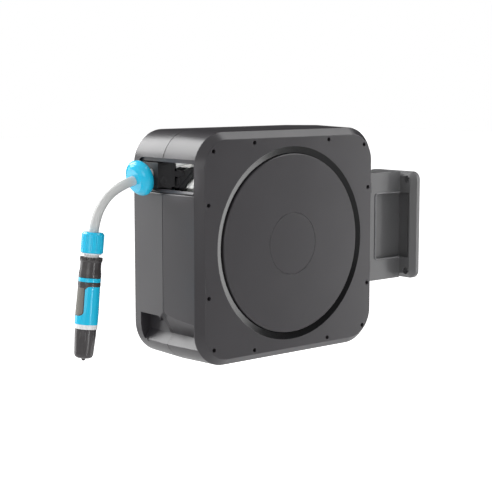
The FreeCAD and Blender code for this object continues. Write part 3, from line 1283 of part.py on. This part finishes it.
save("connector_collar", connector_collar())
save("nozzle_nipple", nozzle_nipple())
save("nozzle_blue_ring", nozzle_blue_ring())
save("nozzle_neck", nozzle_neck())
save("nozzle_grip", nozzle_grip())
save("grip_inlay", grip_inlay())
save("nozzle_ring", nozzle_ring())
save("nozzle_head", nozzle_head())
save("nozzle_tip", nozzle_tip())
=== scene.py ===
import bpy
import math
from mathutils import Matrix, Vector


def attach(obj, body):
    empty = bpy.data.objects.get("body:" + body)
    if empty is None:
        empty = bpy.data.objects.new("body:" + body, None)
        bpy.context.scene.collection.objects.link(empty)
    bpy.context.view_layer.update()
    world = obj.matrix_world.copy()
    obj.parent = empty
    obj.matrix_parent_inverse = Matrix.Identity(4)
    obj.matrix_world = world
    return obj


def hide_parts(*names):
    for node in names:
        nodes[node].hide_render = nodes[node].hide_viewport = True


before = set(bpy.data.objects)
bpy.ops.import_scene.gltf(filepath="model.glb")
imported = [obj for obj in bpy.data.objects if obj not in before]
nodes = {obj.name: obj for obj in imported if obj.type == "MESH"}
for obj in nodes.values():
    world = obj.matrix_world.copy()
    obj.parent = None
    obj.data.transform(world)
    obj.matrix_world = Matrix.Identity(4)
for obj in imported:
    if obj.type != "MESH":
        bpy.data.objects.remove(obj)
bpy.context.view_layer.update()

# Camera -------------------------------------------------------------------------------------------
# A long lens a little above the middle of the case, in front of the cover and towards the
# side that the hose leaves.
camera_data = bpy.data.cameras.new("camera")
camera_data.sensor_width = 36.0
camera_data.lens = 96.73
camera = bpy.data.objects.new("camera", camera_data)
bpy.context.scene.collection.objects.link(camera)
camera.location = (-1.8322, -1.6893, 0.2730)
turn, down = math.radians(40.878), math.radians(7.31)
looks_along = Vector((math.sin(turn) * math.cos(down), math.cos(turn) * math.cos(down),
                      -math.sin(down)))
camera.rotation_euler = looks_along.to_track_quat("-Z", "Y").to_euler()
bpy.context.scene.camera = camera

# Hose tail ----------------------------------------------------------------------------------------
# Half-inch garden hose, soft PVC over a yarn braid. The free end bends down out of the stop ball
# under the weight of the nozzle and is pushed into the connector's nut.
hose_diameter = 0.0155
tail_points = [
    (-0.58054, 0.033, 0.10698),
    (-0.60109, 0.033, 0.10137),
    (-0.6248, 0.033, 0.0895),
    (-0.6407, 0.033, 0.0748),
    (-0.6517, 0.033, 0.0567),
    (-0.6592, 0.033, 0.0328),
    (-0.6619, 0.033, 0.0090),
]
tail_curve = bpy.data.curves.new("hose_tail_soft", "CURVE")
tail_curve.dimensions = "3D"
tail_curve.bevel_depth = 1.0  # times the radius of each point
tail_curve.bevel_resolution = 8
tail_curve.resolution_u = 12
tail_curve.use_fill_caps = True
tail_spline = tail_curve.splines.new("NURBS")
tail_spline.points.add(len(tail_points) - 1)
for point, place in zip(tail_spline.points, tail_points):
    point.co = (*place, 1.0)
    point.radius = hose_diameter / 2
tail_spline.order_u = 3
tail_spline.use_endpoint_u = True
hose_tail = bpy.data.objects.new("hose_tail_soft", tail_curve)
bpy.context.scene.collection.objects.link(hose_tail)
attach(hose_tail, "carriage")
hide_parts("hose_tail")


def linear(colour):
    """Turns an sRGB hex colour into the linear one that a shader takes."""
    channels = [int(colour[i:i + 2], 16) / 255 for i in (1, 3, 5)]
    return [c / 12.92 if c <= 0.04045 else ((c + 0.055) / 1.055) ** 2.4 for c in channels] + [1.0]


def add(owner, kind, settings=None, links=None):
    """Adds one shader node, with its settings and what its inputs are linked to."""
    made = owner.node_tree.nodes.new(kind)
    for name, value in (settings or {}).items():
        if isinstance(name, int) or name in made.inputs:
            made.inputs[name].default_value = value
        else:
            setattr(made, name, value)
    for name, socket in (links or {}).items():
        owner.node_tree.links.new(socket, made.inputs[name])
    return made


def surface(name, colour, roughness, ior=1.5, metallic=0.0):
    """A new material and its shader."""
    material = bpy.data.materials.new(name)
    material.use_nodes = True
    shader = material.node_tree.nodes["Principled BSDF"]
    shader.inputs["Base Color"].default_value = linear(colour)
    shader.inputs["Roughness"].default_value = roughness
    shader.inputs["IOR"].default_value = ior
    shader.inputs["Metallic"].default_value = metallic
    return material, shader


def moulded(name, colour, roughness, ior, grain_mm, grain_depth_mm, edge_mm=0.5, clouds=0.05,
            metallic=0.0):
    """Moulded or rolled surface: fine grain, softened edges, and clouds where it cooled unevenly.

    The real grain is a tenth of a millimetre or less. It is drawn coarser, so that it shows.
    """
    cloud_mm, gloss_change = 62.5, 0.04
    material, shader = surface(name, colour, roughness, ior, metallic)
    place = add(material, "ShaderNodeTexCoord").outputs["Object"]
    grain = add(material, "ShaderNodeTexNoise", {"Scale": 1000 / grain_mm, "Detail": 2.0},
                {"Vector": place})
    soft_edge = add(material, "ShaderNodeBevel", {"samples": 6, "Radius": edge_mm / 1000})
    bump = add(material, "ShaderNodeBump", {"Distance": grain_depth_mm / 1000, "Strength": 1.0},
               {"Height": grain.outputs["Fac"], "Normal": soft_edge.outputs["Normal"]})
    cloud = add(material, "ShaderNodeTexNoise", {"Scale": 1000 / cloud_mm, "Detail": 2.0},
                {"Vector": place})
    dark = [c * (1 - clouds) for c in linear(colour)[:3]] + [1.0]
    pale = [c * (1 + clouds) for c in linear(colour)[:3]] + [1.0]
    tint = add(material, "ShaderNodeMix", {"data_type": "RGBA", 6: dark, 7: pale},
               {0: cloud.outputs["Fac"]})
    gloss = add(material, "ShaderNodeMapRange",
                {"To Min": roughness - gloss_change, "To Max": roughness + gloss_change},
                {"Value": cloud.outputs["Fac"]})
    material.node_tree.links.new(tint.outputs[2], shader.inputs["Base Color"])
    material.node_tree.links.new(gloss.outputs["Result"], shader.inputs["Roughness"])
    material.node_tree.links.new(bump.outputs["Normal"], shader.inputs["Normal"])
    return material


def dress(material, *names):
    """Gives CAD nodes, or pieces made here, their material."""
    for name in names:
        piece = nodes.get(name) or bpy.data.objects[name]
        if not piece.data.materials:
            piece.data.materials.append(material)
        for slot in piece.material_slots:
            slot.material = material


# Extruded PVC: pale grey, satin, drawn smooth, with slight waves from the haul-off wheels.
hose_pvc = moulded("extruded_soft_pvc", "#D4D5D4", 0.40, 1.53, 2.5, 0.02, edge_mm=0.8, clouds=0.03)
dress(hose_pvc, "hose_tail_soft", "hose_lead")

# Bracket and pivot --------------------------------------------------------------------------------
# Ribbed wall bracket and hinge fitting, moulded from glass-filled nylon. The case turns on a steel
# pin that a wire clip keeps in place.


def skin(sections, closed=False):
    """Points and faces of a skin over sections of equal count; an open skin gets flat ends."""
    count, sides = len(sections), len(sections[0])
    points = [point for section in sections for point in section]
    faces = []
    for i in range(count if closed else count - 1):
        here, there = i * sides, (i + 1) % count * sides
        for k in range(sides):
            after = (k + 1) % sides
            faces.append((here + k, here + after, there + after, there + k))
    if not closed:
        faces.append(tuple(range(sides)))
        faces.append(tuple(range(len(points) - 1, len(points) - 1 - sides, -1)))
    return points, faces


def mesh_piece(name, points, faces, body, slot, smooth=True):
    """A mesh that is shown on top of the CAD nodes and moves with one body."""
    mesh = bpy.data.meshes.new(name)
    mesh.from_pydata(points, [], faces)
    mesh.update()
    for face in mesh.polygons:
        face.use_smooth = smooth
    piece = bpy.data.objects.new(name, mesh)
    bpy.context.scene.collection.objects.link(piece)
    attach(piece, body)
    return piece


# Glass-filled nylon is a little duller than the case, as fibres lie at its surface; its paler
# colour is painted light, lifted to make up for the shade that the case and the plate cast on the
# arm.
bracket_nylon_painted_light = moulded("moulded_glass_filled_nylon_painted_light", "#606061", 0.38, 1.53, 0.7, 0.016,
                        edge_mm=1.2, clouds=0.08)
dress(bracket_nylon_painted_light, "wall_bracket", "hinge_fitting")

# Bead round each side pocket of the arm, left by the polished insert that moulds the pocket. It is
# glossy, and its colour is a paler copy of the bracket's as painted highlight, so it shows as a
# thin bright line.
# It runs from the plate along the top of the pocket, round two corners and back along the bottom.
# Paler than the bracket nylon: painted highlight on top of the real gloss.
polished_nylon_painted_highlight = moulded("polished_nylon_painted_highlight", "#6C6C6E", 0.15, 1.53, 0.7, 0.003, edge_mm=0.2,
                         clouds=0.04)
pocket_end_x, pocket_half_height, pocket_corner = -0.0826, 0.0606, 0.006
plate_face_x, arm_side_y = -0.0172, 0.0279
bead_radius, bead_sides = 0.0016, 10
corner_steps, corner_step = 6, 15
bead_line = [(plate_face_x, pocket_half_height)]
for start, centre_z in ((90, pocket_half_height - pocket_corner),
                        (180, -pocket_half_height + pocket_corner)):
    for step in range(corner_steps + 1):
        angle = math.radians(start + corner_step * step)
        bead_line.append((pocket_end_x + pocket_corner + pocket_corner * math.cos(angle),
                          centre_z + pocket_corner * math.sin(angle)))
bead_line.append((plate_face_x, -pocket_half_height))

# Slim rib with drafted sides, which stiffens the floor of the plate's recess beside the arm.
rib_root_x, rib_top_x, rib_half_length = -0.0088, -0.0120, 0.0590
rib_near_y, rib_far_y, rib_draft = 0.0405, 0.0440, 0.0006

for side, facing in (("front", -1), ("rear", 1)):
    sections = []
    for i, (x, z) in enumerate(bead_line):
        before, after = bead_line[max(i - 1, 0)], bead_line[min(i + 1, len(bead_line) - 1)]
        run_x, run_z = after[0] - before[0], after[1] - before[1]
        run = math.hypot(run_x, run_z)
        section = []
        for k in range(bead_sides):
            around = 2 * math.pi * k / bead_sides
            out = bead_radius * math.cos(around)
            section.append((x - out * run_z / run,
                            facing * (arm_side_y + bead_radius * math.sin(around)),
                            z + out * run_x / run))
        sections.append(section)
    mesh_piece("pocket_bead_" + side, *skin(sections), "wall", "bracket_plastic")
    dress(polished_nylon_painted_highlight, "pocket_bead_" + side)

    near, far, draft = facing * rib_near_y, facing * rib_far_y, facing * rib_draft
    rib_section = ((rib_root_x, near), (rib_top_x, near + draft),
                   (rib_top_x, far - draft), (rib_root_x, far))
    rib_points = [(x, y, z) for z in (-rib_half_length, rib_half_length) for x, y in rib_section]
    rib_faces = [(0, 1, 2, 3), (7, 6, 5, 4), (0, 4, 5, 1), (1, 5, 6, 2), (2, 6, 7, 3), (3, 7, 4, 0)]
    mesh_piece("plate_rib_" + side, rib_points, rib_faces, "wall", "bracket_plastic", smooth=False)
    dress(bracket_nylon_painted_light, "plate_rib_" + side)

# Bright zinc plate on steel: cool white metal, clouded by the plating bath.
zinc = moulded("bright_zinc_plate", "#B9BBBD", 0.30, 1.5, 0.6, 0.006, edge_mm=0.3, clouds=0.10,
               metallic=1.0)
dress(zinc, "pivot_pin", "case_screws", "hinge_screws", "axle_nut", "ball_screws", "idler_stud",
      "ratchet_ring", "ratchet_pawl")
# Drawn stainless wire is smoother than the plate and shines in narrow streaks.
wire = moulded("drawn_stainless_wire", "#B4B4B3", 0.22, 1.5, 0.4, 0.003, edge_mm=0.2, clouds=0.06,
               metallic=1.0)
dress(wire, "pin_clip", "guide_rod")

# Case ---------------------------------------------------------------------------------------------
# Two deep shells of charcoal polypropylene, drawn together by screws in deep tubes. The round cover
# and its cap are pressed into the dish from the same plastic. A fine eroded grain leaves the
# highlights broad and soft.
case_pp = moulded("moulded_polypropylene", "#39373A", 0.31, 1.49, 0.7, 0.008, edge_mm=0.9,
                  clouds=0.04)
dress(case_pp, "front_shell", "rear_shell", "front_disc", "hub_cap", "window_frame")

# Trim ring: a flat-sided ring of polypropylene, pressed into the dish round the cover and coloured
# nearly black as painted shade for the groove. Its face slopes down to the cover, which leaves a
# shallow funnel all the way round.
cover_x, cover_z, case_front_y = -0.348, -0.002, -0.092
trim_outer, trim_inner = 0.16125, 0.1497
trim_steps = 360
# Radius, and depth behind the case's front: rim, face, inner edge, back that follows the dish.
trim_section = [(trim_outer, 0.00012), (trim_outer - 0.0010, 0.00035),
                (trim_inner + 0.0006, 0.0023), (trim_inner, 0.0028),
                (trim_inner, 0.0059), (0.1520, 0.0059), (0.1551, 0.0051), (0.1583, 0.0033)]
sections = []
for i in range(trim_steps):
    angle = 2 * math.pi * i / trim_steps
    sections.append([(cover_x + radius * math.cos(angle), case_front_y + depth,
                      cover_z + radius * math.sin(angle)) for radius, depth in trim_section])
mesh_piece("cover_trim_ring", *skin(sections, closed=True), "case", "charcoal_plastic",
           smooth=False)
# Polished in the mould, with crisp light arcs where it mirrors something bright; its nearly black
# colour is painted shade for the groove.
trim_pp_painted_shade = moulded("trim_polypropylene_painted_shade", "#121213", 0.16, 1.49, 0.8, 0.003, edge_mm=0.3, clouds=0.03)
dress(trim_pp_painted_shade, "cover_trim_ring")

# Guide and drum -----------------------------------------------------------------------------------
# The carriage, its arm and rollers, the spring housing and the water pipes are black polypropylene.
# The drum is the same plastic undyed. Gears, bushes and crossed screw are natural acetal, which
# runs dry on steel, and the spring is blued steel strip.
black_pp = moulded("moulded_black_polypropylene", "#2A2A2B", 0.40, 1.49, 0.7, 0.008, edge_mm=0.6)
dress(black_pp, "guide_carriage", "guide_arm", "spring_housing", "drum_elbow", "axle",
      "inlet_elbow", "roller_upper", "roller_lower")
# Undyed polypropylene is milky white and satin.
natural_pp = moulded("moulded_natural_polypropylene", "#DADAD7", 0.42, 1.49, 0.8, 0.008,
                     edge_mm=0.6, clouds=0.03)
dress(natural_pp, "drum_front", "drum_rear")
# Acetal is a warmer, slightly glossier white.
acetal = moulded("moulded_acetal", "#E6E3D8", 0.36, 1.48, 0.8, 0.004, edge_mm=0.3, clouds=0.03)
dress(acetal, "screw_bushes", "drum_bushes", "drum_gear", "idler_gear", "screw_gear",
      "cross_screw")
# Blued steel: dark blue-grey metal with uneven temper colour.
spring_steel = moulded("blued_spring_steel", "#3E4450", 0.32, 1.5, 1.2, 0.006, edge_mm=0.2,
                       clouds=0.2, metallic=1.0)
dress(spring_steel, "power_spring")

# Wound hose ---------------------------------------------------------------------------------------
# Three layers of turns side by side between the flanges, each layer running back over the one
# below. Turns that were laid under less pull stand a little proud.
drum_x, drum_z = cover_x, cover_z
first_turn_y, last_turn_y = -0.0607, 0.0667
turn_pitch = 0.01555
layer_radii = (0.12575, 0.1380, 0.14985)
proud = 0.0003
steps_round, hose_sides = 56, 12
steps_across = int((last_turn_y - first_turn_y) / turn_pitch * steps_round)
points, faces = [], []
for layer, layer_radius in enumerate(layer_radii):
    sections = []
    for i in range(steps_across + 1):
        angle = 2 * math.pi * i / steps_round
        share = i / steps_across if layer % 2 == 0 else 1 - i / steps_across
        y = first_turn_y + (last_turn_y - first_turn_y) * share
        radius = layer_radius + proud * math.sin(2.3 * angle) * math.sin(0.37 * angle)
        section = []
        for k in range(hose_sides):
            around = 2 * math.pi * k / hose_sides
            reach = radius + hose_diameter / 2 * math.cos(around)
            section.append((drum_x + reach * math.cos(angle),
                            y + hose_diameter / 2 * math.sin(around),
                            drum_z + reach * math.sin(angle)))
        sections.append(section)
    layer_points, layer_faces = skin(sections)
    faces += [tuple(len(points) + n for n in face) for face in layer_faces]
    points += layer_points
wound_turns = mesh_piece("wound_hose_turns", points, faces, "drum", "grey_hose")
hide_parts("wound_hose")
dress(hose_pvc, "wound_hose_turns")

# Stop ball, connector and nozzle ------------------------------------------------------------------
# Glossy ABS mouldings that snap together. The ball, the nut and the grip are light blue, the
# connector and the ring white, and the collar and the spray head warm dark grey.
blue_abs = moulded("moulded_blue_abs", "#20CCF6", 0.18, 1.54, 0.8, 0.003, edge_mm=0.6, clouds=0.02)
dress(blue_abs, "ball_front", "ball_rear", "hose_nut", "nozzle_blue_ring", "nozzle_grip")
# White ABS scatters more light and looks less glossy.
white_abs = moulded("moulded_white_abs", "#F7F7F9", 0.30, 1.54, 0.8, 0.003, edge_mm=0.4,
                    clouds=0.02)
dress(white_abs, "connector_body", "nozzle_ring")
# The dark grey has narrow highlights along its ribs.
dark_abs = moulded("moulded_dark_abs", "#454243", 0.24, 1.54, 0.8, 0.004, edge_mm=0.5)
dress(dark_abs, "connector_collar", "nozzle_nipple", "nozzle_neck", "nozzle_head", "nozzle_tip",
      "inlet_nipple")
# The inlay is a soft elastomer moulded into the grip: grey, matt and slightly rough.
grip_tpe = moulded("moulded_elastomer", "#7A7872", 0.60, 1.5, 0.8, 0.03, edge_mm=0.5)
dress(grip_tpe, "grip_inlay")

# Studio -------------------------------------------------------------------------------------------
# A plain pale floor below the bracket, and a surround that is white where it is seen directly but
# lights the object mostly from above the hose side, so that its flat top stays dark. Large soft
# lamps stand above, in front and behind.
floor_z, floor_size = -0.9, 40.0
bpy.ops.mesh.primitive_grid_add(x_subdivisions=1, y_subdivisions=1, size=floor_size,
                                location=(0, 0, floor_z))
floor = bpy.context.object
floor.name = "studio_floor"
floor_paint, floor_shader = surface("studio_floor_paint", "#E8E8E8", 0.9)
seen = add(floor_paint, "ShaderNodeLightPath").outputs["Is Camera Ray"]
lift = add(floor_paint, "ShaderNodeEmission", {"Color": (1, 1, 1, 1)}, {"Strength": seen})
both = add(floor_paint, "ShaderNodeAddShader", None,
           {0: floor_shader.outputs["BSDF"], 1: lift.outputs["Emission"]})
floor_output = floor_paint.node_tree.nodes["Material Output"]
floor_paint.node_tree.links.new(both.outputs["Shader"], floor_output.inputs["Surface"])
floor.data.materials.append(floor_paint)

bright_way = (-0.75, -0.05, 0.66)
dim_glow, bright_glow, seen_glow = 0.03, 0.75, 1.0
world = bpy.data.worlds.new("surround")
bpy.context.scene.world = world
world.use_nodes = True
backdrop = world.node_tree.nodes["Background"]
backdrop.inputs["Color"].default_value = (1, 1, 1, 1)
path = add(world, "ShaderNodeLightPath")
direct = add(world, "ShaderNodeMath", {"operation": "MAXIMUM"},
             {0: path.outputs["Is Camera Ray"], 1: path.outputs["Is Transmission Ray"]})
direction = add(world, "ShaderNodeTexCoord").outputs["Generated"]
toward = add(world, "ShaderNodeVectorMath", {"operation": "DOT_PRODUCT", 1: bright_way},
             {0: direction})
glow = add(world, "ShaderNodeMapRange",
           {"From Min": -0.1, "From Max": 0.9, "To Min": dim_glow, "To Max": bright_glow},
           {"Value": toward.outputs["Value"]})
strength = add(world, "ShaderNodeMix", {3: seen_glow},
               {0: direct.outputs[0], 2: glow.outputs["Result"]})
world.node_tree.links.new(strength.outputs[0], backdrop.inputs["Strength"])


def put_lamp(name, kind, place, aim, power):
    """A lamp of one kind at a place, aimed at a point, with its power in watts."""
    lamp = bpy.data.lights.new(name, kind)
    lamp.energy = power
    stand = bpy.data.objects.new(name, lamp)
    stand.location = place
    stand.rotation_euler = (Vector(aim) - Vector(place)).to_track_quat("-Z", "Y").to_euler()
    bpy.context.scene.collection.objects.link(stand)
    return lamp, stand


def softbox(name, place, aim, size, power):
    """A rectangular soft lamp."""
    lamp, stand = put_lamp(name, "AREA", place, aim, power)
    lamp.shape = "RECTANGLE"
    lamp.size, lamp.size_y = size


middle = (-0.35, 0.0, 0.0)
softbox("overhead_behind", (-1.25, 2.0, 1.55), middle, (1.9, 1.5), 62)
softbox("rear_left_panel", (-1.62, 2.35, -0.2), middle, (1.2, 1.6), 12)
softbox("top_right", (1.2, -0.5, 2.2), middle, (1.6, 1.2), 20)
softbox("right_key", (0.75, -0.95, 0.85), (-0.15, -0.09, 0.15), (0.6, 0.8), 5.5)
softbox("right_strip", (1.77, -1.30, -0.02), middle, (0.62, 1.9), 17)
softbox("gloss_strip", (-0.54, -2.37, -0.30), (-0.66, 0.03, -0.15), (0.12, 1.5), 9)
softbox("camera_left_fill", (-2.6, -1.2, 0.5), middle, (1.2, 1.2), 7)
# A narrow spot lights the guide and the drum inside the hose window.
snoot, snoot_stand = put_lamp("window_snoot", "SPOT", (-1.75, -1.25, 0.15),
                              (-0.548, -0.040, 0.114), 150)
snoot.spot_size = math.radians(2.6)
snoot.spot_blend = 0.4
snoot.shadow_soft_size = 0.01
snoot_stand.visible_glossy = False

bpy.context.scene.view_settings.view_transform = "Standard"
